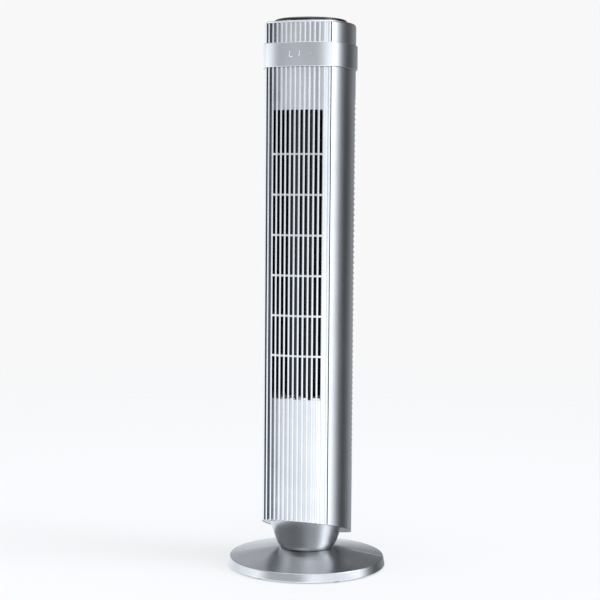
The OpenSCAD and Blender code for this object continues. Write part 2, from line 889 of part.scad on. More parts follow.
module wheel_hub() {
    color(black) translate([0, wheel_y, 322]) difference() {
        union() {
            cylinder(r = 11, h = 8);
            translate([0, 0, 11]) cylinder(r = 9, h = 13);
            cylinder(r = 9, h = 16);
        }
        translate([0, 0, -1]) cylinder(r = shaft_r, h = 30);
    }
}

disc_t = 2;
blade_t = 1.1;

// One curved blade, as a slice of a ring that leans forward in the turning direction.
module blade() {
    translate([wheel_r - 9, -6.2]) intersection() {
        difference() {
            circle(10, $fn = 48);
            circle(10 - blade_t, $fn = 48);
        }
        translate([-2, 2.2]) square([10.4, 9]);
    }
}

module blower_wheel() {
    color([0.12, 0.12, 0.13]) translate([0, wheel_y, 0]) difference() {
        union() {
            translate([0, 0, wheel_z0 + disc_t/2]) linear_extrude(wheel_z1 - wheel_z0 - disc_t)
                for (i = [0:blade_count - 1]) rotate(i*360/blade_count) blade();
            for (k = [0:segment_count]) translate([0, 0, wheel_z0 + k*(wheel_z1 - wheel_z0 - disc_t)/segment_count])
                ring(wheel_r, k == 0 ? 9.05 : k == segment_count ? shaft_r : 31, disc_t);
        }
    }
}

module top_stub_shaft() {
    color(steel) translate([0, wheel_y, wheel_z1 - 8]) union() {
        cylinder(r = shaft_r, h = 31);
        difference() {
            translate([0, 0, 3]) cylinder(r = 9, h = 3);
            translate([0, 0, 9]) cylinder(r = 1, h = 1);
        }
    }
}

// ---------- electrics in the foot of the column ----------

module power_board() {
    color(board_green) translate([-45, 48, 118]) cube([90, 1.6, 66]);
}

module motor_capacitor() {
    color(silver) translate([-24, 30, 128]) cube([34, 17.8, 24]);
}

module terminal_block() {
    color([0.9, 0.9, 0.88]) translate([16, 34, 130]) difference() {
        cube([24, 13.8, 16]);
        for (x = [4, 12, 20]) translate([x, 7, 4]) cylinder(r = 2.2, h = 20, $fn = 24);
    }
}

module cord_gland() {
    color(black) translate([0, 0, 130]) rotate([-90, 0, 0]) difference() {
        union() {
            translate([0, 0, 81]) cylinder(r = 7, h = 11);
            translate([0, 0, 90.1]) cylinder(r = 9.5, h = 2.4);
            translate([0, 0, 82.5]) cylinder(r = 9.5, h = 2.4);
        }
        translate([0, 0, 70]) cylinder(r = 3.6, h = 40);
    }
}

module wiring_loom() {
    color(black) {
        translate([-64, -19, 186]) cylinder(r = 2.4, h = 812);
        translate([-64, -19, 998]) rotate([0, 90, 0]) cylinder(r = 2.4, h = 22);
        translate([-64, -19, 186]) rotate([-90, 0, 0]) cylinder(r = 2.4, h = 60);
        translate([-64, 41, 150]) cylinder(r = 2.4, h = 38.4);
        translate([-64, 41, 152]) rotate([0, 90, 0]) cylinder(r = 2.4, h = 40);
    }
}

base_front();
base_rear();
ballast_ring();
base_feet();
base_screws();
swivel_spindle();
spindle_screws();
slip_washer();
fixed_gear();
retaining_ring();
neck_cone();
swivel_bush();
swivel_plate();
osc_bracket();
osc_motor();
pinion();
pinion_shaft();
bottom_cover();
neck_screws();
front_shell();
grille_stay();
rear_shell();
rear_grille();
collar_band();
display_light_guide();
display_board();
display_leds();
ir_receiver();
top_cap();
touch_panel();
control_board();
touch_springs();
buzzer();
air_scroll();
vortex_tongue();
motor_deck();
deck_screws();
motor_mounts();
motor_case_lower();
motor_case_upper();
motor_screws();
stator_core();
stator_windings();
motor_bushes();
upper_deck();
top_bush();
power_board();
motor_capacitor();
terminal_block();
cord_gland();
wiring_loom();
blower_wheel();
motor_shaft();
motor_rotor();
wheel_hub();
top_stub_shaft();
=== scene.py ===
"""The looks of a tower fan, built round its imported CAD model. Metres, +Z up, air leaves towards -Y."""

import math

import bmesh
import bpy
from mathutils import Matrix, Vector
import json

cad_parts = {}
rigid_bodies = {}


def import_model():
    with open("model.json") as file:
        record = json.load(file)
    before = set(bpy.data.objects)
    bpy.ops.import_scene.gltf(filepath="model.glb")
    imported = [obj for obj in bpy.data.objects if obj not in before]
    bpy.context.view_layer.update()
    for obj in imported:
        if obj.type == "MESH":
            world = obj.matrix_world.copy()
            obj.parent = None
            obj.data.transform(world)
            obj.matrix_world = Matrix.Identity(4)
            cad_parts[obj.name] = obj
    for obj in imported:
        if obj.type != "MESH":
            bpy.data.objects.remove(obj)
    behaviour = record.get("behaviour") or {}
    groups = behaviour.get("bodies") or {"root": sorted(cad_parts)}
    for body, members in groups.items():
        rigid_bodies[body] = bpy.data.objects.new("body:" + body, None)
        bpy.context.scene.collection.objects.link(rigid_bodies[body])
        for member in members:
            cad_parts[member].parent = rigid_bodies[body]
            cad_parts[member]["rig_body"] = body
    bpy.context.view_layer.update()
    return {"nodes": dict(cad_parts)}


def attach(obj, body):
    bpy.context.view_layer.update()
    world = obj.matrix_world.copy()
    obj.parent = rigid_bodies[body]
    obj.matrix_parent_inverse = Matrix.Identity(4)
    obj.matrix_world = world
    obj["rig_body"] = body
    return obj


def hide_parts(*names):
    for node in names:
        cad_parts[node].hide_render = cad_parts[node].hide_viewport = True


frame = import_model()

# ---------- camera ----------

CAMERA_AZIMUTH = math.radians(17)      # how far round from the fan's front, towards +X
CAMERA_DISTANCE = 2.7333               # from the base's axis, along the floor
CAMERA_HEIGHT = 0.7103
CAMERA_PITCH = math.radians(4.231)     # looking down
CAMERA_YAW = math.radians(0.337)       # aimed a little to the left of the axis
CAMERA_ROLL = math.radians(0.439)
CAMERA_LENS = 86.6                     # focal length in mm
CAMERA_SENSOR = 36                     # sensor width in mm


def make_camera():
    data = bpy.data.cameras.new("camera")
    data.sensor_width = CAMERA_SENSOR
    data.lens = CAMERA_LENS
    camera = bpy.data.objects.new("camera", data)
    bpy.context.scene.collection.objects.link(camera)
    heading = Matrix.Rotation(CAMERA_AZIMUTH + CAMERA_YAW, 3, "Z")
    forward = heading @ Vector((0, math.cos(CAMERA_PITCH), -math.sin(CAMERA_PITCH)))
    right = heading @ Vector((1, 0, 0))
    up = right.cross(forward)
    axis_x = right * math.cos(CAMERA_ROLL) + up * math.sin(CAMERA_ROLL)
    axis_y = up * math.cos(CAMERA_ROLL) - right * math.sin(CAMERA_ROLL)
    turn = Matrix((axis_x, axis_y, -forward)).transposed()
    place = Vector((
        math.sin(CAMERA_AZIMUTH) * CAMERA_DISTANCE,
        -math.cos(CAMERA_AZIMUTH) * CAMERA_DISTANCE,
        CAMERA_HEIGHT,
    ))
    camera.matrix_world = Matrix.Translation(place) @ turn.to_4x4()
    bpy.context.scene.camera = camera


make_camera()

# ---------- the column's sizes, in millimetres as in the CAD model ----------

MM = 0.001

FRONT_R = 190.0                        # radii and places of the outline's four arcs
FRONT_Y = 82.0
SIDE_R = 129.0
SIDE_X = 45.0
REAR_R = 100.0
REAR_Y = 10.0
BOTTOM_Z = 100.0                       # the column's lower edge at the front, and its slope
BOTTOM_SLOPE = math.tan(math.radians(18.4))
SHELL_TOP = 1021.0
CAP_TOP = 1024.5

# ---------- shader helpers ----------

NOISE_LOW = 0.3                        # nearly all of a noise lies between these two values
NOISE_HIGH = 0.7
CLOUD_SCALE = 14.0
GRAIN_SCALE = 1400.0
GRAIN_DEPTH = 0.000006                 # metres


def new_material(name):
    made = bpy.data.materials.new(name)
    made.use_nodes = True
    made.node_tree.nodes.clear()
    return made


class Graph:
    """A small helper that adds and joins shader nodes."""

    def __init__(self, tree):
        self.tree = tree

    def node(self, kind, **settings):
        made = self.tree.nodes.new(kind)
        for name, value in settings.items():
            setattr(made, name, value)
        return made

    def join(self, source, target):
        self.tree.links.new(source, target)

    def coords(self):
        return self.node("ShaderNodeTexCoord").outputs["Object"]

    def noise(self, coords, scale, detail=3):
        made = self.node("ShaderNodeTexNoise")
        made.inputs["Scale"].default_value = scale
        made.inputs["Detail"].default_value = detail
        made.inputs["Roughness"].default_value = 0.55
        self.join(coords, made.inputs["Vector"])
        return made.outputs["Fac"]

    def spread(self, value, low, high, start, end):
        """From low to high as the value goes from start to end, and level outside them."""
        made = self.node("ShaderNodeMapRange")
        made.inputs["From Min"].default_value = start
        made.inputs["From Max"].default_value = end
        made.inputs["To Min"].default_value = low
        made.inputs["To Max"].default_value = high
        self.join(value, made.inputs["Value"])
        return made.outputs["Result"]

    def ramp(self, value, stops):
        made = self.node("ShaderNodeValToRGB")
        points = made.color_ramp.elements
        for point, (place, colour) in ((points[0], stops[0]), (points[1], stops[-1])):
            point.position = place
            point.color = (*colour, 1)
        for place, colour in stops[1:-1]:
            points.new(place).color = (*colour, 1)
        self.join(value, made.inputs["Fac"])
        return made.outputs["Color"]

    def maths(self, operation, *values):
        """A Math node on other nodes' outputs or plain numbers."""
        made = self.node("ShaderNodeMath", operation=operation)
        for socket, value in zip(made.inputs, values):
            if isinstance(value, (int, float)):
                socket.default_value = value
            else:
                self.join(value, socket)
        return made.outputs["Value"]

    def length(self, vector):
        made = self.node("ShaderNodeVectorMath", operation="LENGTH")
        self.join(vector, made.inputs[0])
        return made.outputs["Value"]

    def mix(self, share, first, second):
        """A colour that goes from first to second. The second may be a plain colour."""
        made = self.node("ShaderNodeMix", data_type="RGBA")
        self.join(share, made.inputs["Factor"])
        self.join(first, made.inputs["A"])
        if isinstance(second, tuple):
            made.inputs["B"].default_value = (*second, 1)
        else:
            self.join(second, made.inputs["B"])
        return made.outputs["Result"]

    def bump(self, height, distance):
        made = self.node("ShaderNodeBump")
        made.inputs["Distance"].default_value = distance
        made.inputs["Strength"].default_value = 1.0
        self.join(height, made.inputs["Height"])
        return made.outputs["Normal"]


def principled(graph, **values):
    shader = graph.node("ShaderNodeBsdfPrincipled")
    out = graph.node("ShaderNodeOutputMaterial")
    graph.join(shader.outputs["BSDF"], out.inputs["Surface"])
    for name, value in values.items():
        shader.inputs[name.replace("_", " ")].default_value = value
    return shader


def clouded(graph, coords, dark, light):
    """A colour that drifts faintly between dark and light."""
    return graph.ramp(graph.noise(coords, CLOUD_SCALE), [(NOISE_LOW, dark), (NOISE_HIGH, light)])


def add_grain(graph, shader, coords, rough, depth=GRAIN_DEPTH):
    """Fine grain in the gloss and the relief."""
    fine = graph.noise(coords, GRAIN_SCALE, detail=2)
    graph.join(graph.spread(fine, *rough, NOISE_LOW, NOISE_HIGH), shader.inputs["Roughness"])
    graph.join(graph.bump(fine, depth), shader.inputs["Normal"])


def grained(name, dark, light, rough, depth=GRAIN_DEPTH, **values):
    """A moulded or painted surface: faint clouds of colour under fine grain."""
    made = new_material(name)
    graph = Graph(made.node_tree)
    shader = principled(graph, **values)
    coords = graph.coords()
    graph.join(clouded(graph, coords, dark, light), shader.inputs["Base Color"])
    add_grain(graph, shader, coords, rough, depth)
    return made


def glow(name, colour, strength):
    """A lit lens, with faint grain in its light."""
    made = new_material(name)
    graph = Graph(made.node_tree)
    shader = principled(graph, Roughness=0.25)
    unlit = tuple(0.4 * c for c in colour)
    dimmed = tuple(0.9 * c for c in colour)
    shader.inputs["Base Color"].default_value = (*unlit, 1)
    shader.inputs["Emission Strength"].default_value = strength
    fine = graph.noise(graph.coords(), 0.5 * GRAIN_SCALE)
    light = graph.ramp(fine, [(NOISE_LOW, dimmed), (NOISE_HIGH, colour)])
    graph.join(light, shader.inputs["Emission Color"])
    return made


# Where painted shade darkens the front shell, in millimetres. The first two are distances from the front
# arc's centre.
WALL_FOOT = (184.8, 185.4)             # the painted shade sets in over this stretch of a groove's side wall,
WALL_HEAD = (188.6, 189.3)             # and is gone over this one, short of the rib's rounded nose
OUTER_GROOVES = (30.0, 52.0)           # it grows between these distances from the middle,
SEAM_STRIP = (59.7, 60.0)              # and covers everything beyond these


def ribbed_with_painted_shade(name, dark, light, shade, rough):
    """Silver paint, with painted shade on the side walls of the outer grooves and by the seams, where shadow
    falls.
    """
    made = new_material(name)
    graph = Graph(made.node_tree)
    shader = principled(graph, Metallic=1.0)
    coords = graph.coords()

    def rise(value, span, low=0, high=1):
        return graph.spread(value, low, high, span[0] * MM, span[1] * MM)

    from_centre = graph.node("ShaderNodeVectorMath", operation="MULTIPLY_ADD")
    graph.join(coords, from_centre.inputs[0])
    from_centre.inputs[1].default_value = (1, 1, 0)
    from_centre.inputs[2].default_value = (0, (FRONT_Y - FRONT_R) * MM, 0)
    reach = graph.length(from_centre.outputs["Vector"])
    axes = graph.node("ShaderNodeSeparateXYZ")
    graph.join(coords, axes.inputs["Vector"])
    off_middle = graph.maths("ABSOLUTE", axes.outputs["X"])
    # Painted shade: a dark colour on the outer grooves' side walls and by the seams, in place of their
    # shadow.
    wall_shade_mask = graph.maths("MULTIPLY", rise(reach, WALL_FOOT), rise(reach, WALL_HEAD, 1, 0))
    outer_wall_shade_mask = graph.maths("MULTIPLY", wall_shade_mask, rise(off_middle, OUTER_GROOVES))
    share = graph.maths("MAXIMUM", outer_wall_shade_mask, rise(off_middle, SEAM_STRIP))
    paint = clouded(graph, coords, dark, light)
    graph.join(graph.mix(share, paint, shade), shader.inputs["Base Color"])
    add_grain(graph, shader, coords, rough)
    return made


def spun(name, dark, light, rough):
    """Paint over a turned dish: its highlights stretch outwards from the centre."""
    made = new_material(name)
    graph = Graph(made.node_tree)
    shader = principled(graph, Metallic=1.0, Anisotropic=0.75)
    coords = graph.coords()
    graph.join(clouded(graph, coords, dark, light), shader.inputs["Base Color"])
    add_grain(graph, shader, coords, rough)
    tangent = graph.node("ShaderNodeTangent", direction_type="RADIAL", axis="Z")
    graph.join(tangent.outputs["Tangent"], shader.inputs["Tangent"])
    return made


# ---------- finishes ----------

SILVER_DARK = (0.50, 0.505, 0.515)
SILVER_LIGHT = (0.55, 0.555, 0.565)
PAINTED_SHADE = (0.035, 0.04, 0.055)            # painted shade for the outer grooves' side walls and the edges at the seams

SILVER_RIBS_PAINTED_SHADE = ribbed_with_painted_shade("silver_paint_ribs_painted_shade", SILVER_DARK, SILVER_LIGHT, PAINTED_SHADE, (0.16, 0.20))
# Painted shade for the rear shell's edges at the seams, dark where the joint lies in shadow.
SEAM_PAINTED_SHADE = grained("seam_painted_shade", PAINTED_SHADE, (0.04, 0.045, 0.06), (0.2, 0.26), Metallic=1.0)
SILVER = grained("silver_paint", SILVER_DARK, SILVER_LIGHT, (0.22, 0.27), Metallic=1.0)
SPUN = spun("spun_silver_paint", (0.44, 0.445, 0.455), (0.49, 0.495, 0.505), (0.21, 0.26))
INNER = grained("dark_inner_moulding", (0.02, 0.022, 0.028), (0.03, 0.032, 0.04), (0.4, 0.5))
WHEEL = grained("black_nylon", (0.006, 0.006, 0.007), (0.012, 0.012, 0.013), (0.35, 0.5))
GLOSS = grained("black_gloss", (0.002, 0.002, 0.002), (0.004, 0.004, 0.004), (0.05, 0.08), 0.000004)
RUBBER = grained("rubber", (0.012, 0.012, 0.012), (0.02, 0.02, 0.02), (0.6, 0.75), 0.0001)
STEEL = grained("steel", (0.50, 0.50, 0.51), (0.60, 0.60, 0.61), (0.25, 0.35), Metallic=1.0)
BRONZE = grained("bronze", (0.45, 0.30, 0.12), (0.55, 0.38, 0.16), (0.35, 0.45), Metallic=1.0)
COPPER = grained("copper", (0.60, 0.25, 0.10), (0.75, 0.34, 0.15), (0.25, 0.4), Metallic=1.0)
ACETAL = grained("acetal", (0.70, 0.69, 0.64), (0.78, 0.77, 0.72), (0.35, 0.45))
BOARD = grained("circuit_board", (0.01, 0.09, 0.03), (0.02, 0.14, 0.05), (0.3, 0.5))
FILM = grained("film_capacitor", (0.55, 0.45, 0.12), (0.62, 0.52, 0.16), (0.3, 0.4))
PRINT = grained("printed_grey", (0.30, 0.31, 0.33), (0.36, 0.37, 0.39), (0.3, 0.4), 0.000002)
LIGHT = glow("display_light", (0.72, 0.74, 1.0), 0.72)
DIM_LIGHT = glow("display_dots_light", (0.40, 0.62, 0.85), 0.35)

FINISHES = {                           # every node that isn't listed is steel
    "base_front": SILVER, "base_rear": SILVER, "rear_shell": SILVER, "rear_grille": SILVER,
    "collar_band": SILVER, "top_cap": SILVER, "bottom_cover": SILVER,
    "neck_cone": SPUN, "front_shell": SILVER_RIBS_PAINTED_SHADE, "touch_panel": GLOSS, "display_light_guide": LIGHT,
    "air_scroll": INNER, "vortex_tongue": INNER, "motor_deck": INNER, "upper_deck": INNER,
    "grille_stay": INNER,
    "blower_wheel": WHEEL, "wheel_hub": WHEEL, "buzzer": WHEEL, "ir_receiver": WHEEL,
    "cord_gland": RUBBER, "base_feet": RUBBER, "motor_mounts": RUBBER, "wiring_loom": RUBBER,
    "slip_washer": ACETAL, "fixed_gear": ACETAL, "pinion": ACETAL, "swivel_bush": ACETAL,
    "terminal_block": ACETAL, "osc_motor": ACETAL, "display_leds": ACETAL,
    "display_board": BOARD, "control_board": BOARD, "power_board": BOARD,
    "motor_capacitor": FILM, "stator_windings": COPPER, "motor_bushes": BRONZE, "top_bush": BRONZE,
}
for name, node in frame["nodes"].items():
    node.data.materials.clear()
    node.data.materials.append(FINISHES.get(name, STEEL))


# ---------- mesh helpers ----------

NO_BEVEL = math.radians(30)            # edges flatter than this stay as they are
TINY = 0.01                            # the radius that stands for none, where a section meets its axis


def body_of_node(name):
    return frame["nodes"][name]["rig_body"]


def make_piece(name, points, faces, node, finish, bevel=0.0, body=None):
    """A mesh in millimetres becomes a piece in metres. It stands for the node, if one is given."""
    mesh = bpy.data.meshes.new(name)
    mesh.from_pydata([(x * MM, y * MM, z * MM) for x, y, z in points], [], faces)
    work = bmesh.new()
    work.from_mesh(mesh)
    bmesh.ops.recalc_face_normals(work, faces=work.faces)
    for face in work.faces:
        face.smooth = True
    work.to_mesh(mesh)
    work.free()
    piece = bpy.data.objects.new(name, mesh)
    bpy.context.scene.collection.objects.link(piece)
    if bevel:
        round_off = piece.modifiers.new("rounded_edges", "BEVEL")
        round_off.width = bevel * MM
        round_off.segments = 3
        round_off.limit_method = "ANGLE"
        round_off.angle_limit = NO_BEVEL
    weight = piece.modifiers.new("even_normals", "WEIGHTED_NORMAL")
    weight.keep_sharp = True
    mesh.materials.append(finish)
    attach(piece, body or body_of_node(node))
    if node:
        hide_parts(node)
    return piece


def arc(centre, radius, start, end, steps):
    """Points on an arc, angles in degrees."""
    made = []
    for i in range(steps + 1):
        angle = math.radians(start + (end - start) * i / steps)
        made.append((centre[0] + radius * math.cos(angle), centre[1] + radius * math.sin(angle)))
    return made


def grid_faces(rows, columns, wrap_rows, wrap_columns):
    """Quads between neighbouring points of a grid stored row by row."""
    faces = []
    for i in range(rows if wrap_rows else rows - 1):
        for j in range(columns if wrap_columns else columns - 1):
            i1 = (i + 1) % rows
            j1 = (j + 1) % columns
            faces.append((i * columns + j, i1 * columns + j, i1 * columns + j1, i * columns + j1))
    return faces


def lathe(name, profile, node, finish, steps):
    """A closed profile of (radius, height) points turned about the Z axis."""
    points = []
    for i in range(steps):
        angle = 2 * math.pi * i / steps
        points += [(r * math.cos(angle), r * math.sin(angle), z) for r, z in profile]
    return make_piece(name, points, grid_faces(steps, len(profile), True, True), node, finish)


def sweep(name, path, profile, node, finish):
    """A closed profile of (outward, height) points round a closed path of (x, y, normal angle)."""
    points = []
    for x, y, angle in path:
        points += [(x + out * math.cos(angle), y + out * math.sin(angle), z) for out, z in profile]
    return make_piece(name, points, grid_faces(len(path), len(profile), True, True), node, finish)


# ---------- the column's outline ----------

ARCS = (
    ((0.0, FRONT_R - FRONT_Y), FRONT_R),
    ((-SIDE_X, 0.0), SIDE_R),
    ((0.0, -REAR_Y), REAR_R),
    ((SIDE_X, 0.0), SIDE_R),
)
CORNER_SIDES = ((1, -1), (1, 1), (-1, 1), (-1, -1))


def circles_meet(first, second, towards):
    """The crossing of two circles that lies on the side of the point towards."""
    (x0, y0), r0 = first
    (x1, y1), r1 = second
    gap = math.hypot(x1 - x0, y1 - y0)
    along = (r0 * r0 - r1 * r1 + gap * gap) / (2 * gap)
    off = math.sqrt(r0 * r0 - along * along)
    ux, uy = (x1 - x0) / gap, (y1 - y0) / gap
    found = [(x0 + ux * along - s * uy * off, y0 + uy * along + s * ux * off) for s in (-1, 1)]
    return max(found, key=lambda p: p[0] * towards[0] + p[1] * towards[1])


def outline(off, fillet, steps, corner_steps):
    """The closed outline as (x, y, normal angle), counter-clockwise from the front left corner."""
    inner = [(centre, radius + off - fillet) for centre, radius in ARCS]
    corners = [circles_meet(inner[k], inner[(k + 1) % 4], CORNER_SIDES[k]) for k in range(4)]
    made = []
    for k, (centre, radius) in enumerate(inner):
        first, last = corners[k - 1], corners[k]
        start = math.atan2(first[1] - centre[1], first[0] - centre[0])
        end = math.atan2(last[1] - centre[1], last[0] - centre[0])
        if end < start:
            end += 2 * math.pi
        for i in range(steps + 1):
            angle = start + (end - start) * i / steps
            reach = radius + fillet
            made.append((centre[0] + reach * math.cos(angle), centre[1] + reach * math.sin(angle), angle))
        after = inner[(k + 1) % 4][0]
        turn = math.atan2(last[1] - after[1], last[0] - after[0])
        while turn < end:
            turn += 2 * math.pi
        for i in range(1, corner_steps):
            angle = end + (turn - end) * i / corner_steps
            made.append((last[0] + fillet * math.cos(angle), last[1] + fillet * math.sin(angle), angle))
    return made


# ---------- base ----------

BASE_TURN = math.radians(10)
BASE_R = 150.0
RIM_R = 147.4
SKIRT_Z = 2.5
RIM_Z = 18.0
SEAT_Z = 35.0
SEAT_R = 51.0
SEAT_HOLE_R = 20.6
BASE_WALL = 2.6
SEAM_Y = 9.5                           # the seam runs behind the centre
SEAM_GAP = 0.1                         # from each half to the middle of the seam
SEAM_ROUND = 0.7                       # rounding of both halves along the seam


def base_profile(inset):
    """The base's closed section, shrunk by inset on every side."""
    rim_edge = 1.6                     # rounding of the rim's upper edge,
    rim_lift = 0.1                     # how far it stands above the slope's start,
    rim_start = 8                      # and its first angle
    skirt_bevel = 0.3                  # the skirt is this much wider at its bulge than at its ends
    bulge_z = SKIRT_Z + 0.6
    skirt_top = SKIRT_Z + 2.4
    seat_drop = 0.35                   # the slope eases into the flat seat over this height
    slope = math.degrees(math.atan2(SEAT_Z - RIM_Z, RIM_R - SEAT_R))
    rim_centre = (RIM_R - rim_edge, RIM_Z - rim_edge + rim_lift)
    inside_z = SEAT_Z - BASE_WALL + inset
    inside_rim_r = RIM_R - BASE_WALL + 0.3
    inside_skirt_r = BASE_R - BASE_WALL - 0.4
    return [
        (BASE_R - BASE_WALL + inset, SKIRT_Z + inset),
        (BASE_R - skirt_bevel - inset, SKIRT_Z + inset),
        (BASE_R - inset, bulge_z + inset),
        (BASE_R - skirt_bevel - inset, skirt_top),
        *arc(rim_centre, rim_edge - inset, rim_start, 90 - slope, 5),
        (SEAT_R + 1.5, SEAT_Z - seat_drop - inset),
        (SEAT_R - 0.5, SEAT_Z - inset),
        (SEAT_HOLE_R + inset, SEAT_Z - inset),
        (SEAT_HOLE_R + inset, inside_z),
        (SEAT_R + 0.5, inside_z),
        (inside_rim_r, RIM_Z - BASE_WALL + inset),
        (inside_skirt_r + inset, SKIRT_Z + 2),
    ]


def base_half(name, side, finish):
    """Half of the base. side is -1 in front of the seam and 1 behind it."""
    steps = 110
    soft = SEAM_ROUND * 0.3
    first = [(0.0, SEAM_ROUND, 0.0), (0.0, soft, soft)]
    middle = [(i / steps, 0.0, SEAM_ROUND) for i in range(steps + 1)]
    last = [(1.0, soft, soft), (1.0, SEAM_ROUND, 0.0)]
    sections = first + middle + last   # how far round, how much smaller, and how far back from the seam
    points = []
    for share, inset, back_off in sections:
        seam = SEAM_Y + side * (SEAM_GAP + back_off)
        for r, z in base_profile(inset):
            limit = math.asin(seam / r)
            start, end = (math.pi - limit, 2 * math.pi + limit) if side < 0 else (limit, math.pi - limit)
            angle = start + (end - start) * share + BASE_TURN
            points.append((r * math.cos(angle), r * math.sin(angle), z))
    count = len(base_profile(0))
    faces = grid_faces(len(sections), count, False, True)
    faces.append(tuple(range(count)))
    faces.append(tuple(range((len(sections) - 1) * count, len(sections) * count)))
    return make_piece(name + "_skin", points, faces, name, finish)


base_half("base_front", -1, SPUN)
base_half("base_rear", 1, SPUN)

# ---------- collar band and display ----------

BAND_Z0 = 940.7
BAND_Z1 = 985.3
BAND_PROUD = 3.1
BAND_FILLET = 4.0
BAND_INSIDE = 0.2 - BAND_PROUD         # the band's inner face, from its outer one
BAND_EDGE = 1.2


def slab_edge(high, low, outer, inner, radius):
    """A closed section between two heights and two offsets, with its outer edges rounded."""
    top = [(outer - radius + x, high - radius + z) for x, z in arc((0, 0), radius, 90, 0, 4)]
    foot = [(outer - radius + x, low + radius + z) for x, z in arc((0, 0), radius, 0, -90, 4)]
    return [(inner, high), *top, *foot, (inner, low)]


band_path = outline(BAND_PROUD, BAND_FILLET, 28, 8)
band_section = slab_edge(BAND_Z1, BAND_Z0, 0, BAND_INSIDE, BAND_EDGE)
sweep("collar_band_skin", band_path, band_section, "collar_band", SILVER)

DISPLAY_Z = 964.0
DIGIT_H = 11.0
DIGIT_W = 6.4
DIGIT_X = (-11.0, 4.4)                 # the middles of the two digits
STROKE = 1.15
SLANT = math.tan(math.radians(7))
DOT_X = 26.0
DOT_R = 1.1
MARK_PROUD = 0.06                      # the lit marks stand this far out of the band
MARK_DEPTH = 0.8


def front_edge(x, radius):
    """The Y at a given X of a circle round the front arc's centre."""
    return FRONT_R - FRONT_Y - math.sqrt(radius * radius - x * x)


def bar_outline(x0, z0, x1, z1, width):
    """A bar with round ends between two points, as a closed list of (x, z)."""
    turn = math.degrees(math.atan2(z1 - z0, x1 - x0))
    head = arc((x1, z1), width / 2, turn - 90, turn + 90, 6)
    tail = arc((x0, z0), width / 2, turn + 90, turn + 270, 6)
    return head + tail


def lit_bars():
    """The display's reading: a seven-segment L and a 1."""
    tip = STROKE * 0.7
    top = DIGIT_H / 2 - tip
    foot = -DIGIT_H / 2
    left = DIGIT_X[0] - DIGIT_W / 2
    right = DIGIT_X[0] + DIGIT_W / 2
    made = []
    for x in (left, DIGIT_X[1]):
        for low, high in ((foot + tip, -tip), (tip, top)):
            made.append(bar_outline(x + low * SLANT, low, x + high * SLANT, high, STROKE))
    made.append(bar_outline(left + tip, foot, right - tip, foot, STROKE))
    return made


def lit_dots():
    """A dot on either side of the reading."""
    return [[(x + px, pz) for px, pz in arc((0, 0), DOT_R, 0, 345, 23)] for x in (-DOT_X, DOT_X)]


def marks_on_band(name, shapes, finish, node):
    """Thin plates in the band's front, one for each closed list of (x, z) about the display's middle."""
    points = []
    faces = []
    for shape in shapes:
        count = len(shape)
        start = len(points)
        for radius in (FRONT_R + BAND_PROUD + MARK_PROUD, FRONT_R + BAND_PROUD - MARK_DEPTH):
            points += [(x, front_edge(x, radius), DISPLAY_Z + z) for x, z in shape]
        faces.append(tuple(range(start, start + count)))
        faces.append(tuple(range(start + count, start + 2 * count)))
        faces += [(start + i, start + (i + 1) % count, start + count + (i + 1) % count, start + count + i)
                  for i in range(count)]
    return make_piece(name, points, faces, node, finish, body="column")


marks_on_band("display_digits", lit_bars(), LIGHT, "display_light_guide")
marks_on_band("display_dots", lit_dots(), DIM_LIGHT, None)

# ---------- top cap and touch panel ----------

PANEL_R = 68.5
PANEL_TOP = 1033.5
PANEL_EDGE = 4.0                       # rounding of the panel's rim
PANEL_WALL = 3.0
CROWN = (                              # how far the crown drops at each radius
    (0, 0),
    (16, 0.02),
    (PANEL_R - 35, 0.1),
    (PANEL_R - 20, 0.3),
    (PANEL_R - 10, 0.55),
    (PANEL_R, 1),
)


def make_cap():
    """The flat top round the touch panel: the outline outside, a round hole inside."""
    inset = 1.0                        # from the column's outline
    fillet = 2.0
    hole = PANEL_R + 0.2
    edge = 1.2                         # rounding outside
    soft = 0.5                         # and at the hole
    rim = 3.0                          # width of the face that rests on the shells
    outer = [(-rim, SHELL_TOP), (0.0, SHELL_TOP), *arc((-edge, CAP_TOP - edge), edge, 0, 90, 4)]
    inner = [
        (hole + soft, CAP_TOP), (hole + 0.3 * soft, CAP_TOP - 0.3 * soft),
        (hole, CAP_TOP - soft), (hole, SHELL_TOP + soft),
    ]
    points = []
    path = outline(-inset, fillet, 28, 6)
    for x, y, angle in path:
        away = math.hypot(x, y)
        points += [(x + off * math.cos(angle), y + off * math.sin(angle), z) for off, z in outer]
        points += [(radius * x / away, radius * y / away, z) for radius, z in inner]
    faces = grid_faces(len(path), len(outer) + len(inner), True, True)
    return make_piece("top_cap_skin", points, faces, "top_cap", SILVER)


make_cap()


def panel_profile():
    """The touch panel's closed section: a shallow dish under a slightly crowned top."""
    inside = PANEL_TOP - PANEL_WALL
    foot = CAP_TOP - 2                 # underside of the lip that sits in the cap
    lip = 5
    toe = 0.8                          # bevel of the lip's outer edge
    rim = arc((PANEL_R - PANEL_EDGE, PANEL_TOP - CROWN[-1][1] - PANEL_EDGE), PANEL_EDGE, 0, 84, 9)
    crown = [(radius, PANEL_TOP - drop) for radius, drop in reversed(CROWN[1:-1])]
    return [
        (TINY, inside), (PANEL_R - lip - 1, inside - 0.8), (PANEL_R - lip, foot),
        (PANEL_R - toe, foot), (PANEL_R, foot + toe), *rim, *crown, (TINY, PANEL_TOP),
    ]


lathe("touch_panel_skin", panel_profile(), "touch_panel", GLOSS, 192)

KEY_COUNT = 5                          # one touch key over each spring of the control board
KEY_CIRCLE = 36.0
KEY_R = 5.2
KEY_LINE = 0.5
KEY_DOT_R = 0.9
KEY_LIFT = 0.05


def crown_height(radius):
    """Height of the touch panel's crown at a radius."""
    for (r0, drop0), (r1, drop1) in zip(CROWN, CROWN[1:]):
        if radius <= r1:
            return PANEL_TOP - drop0 - (drop1 - drop0) * (radius - r0) / (r1 - r0)
    return PANEL_TOP - CROWN[-1][1]


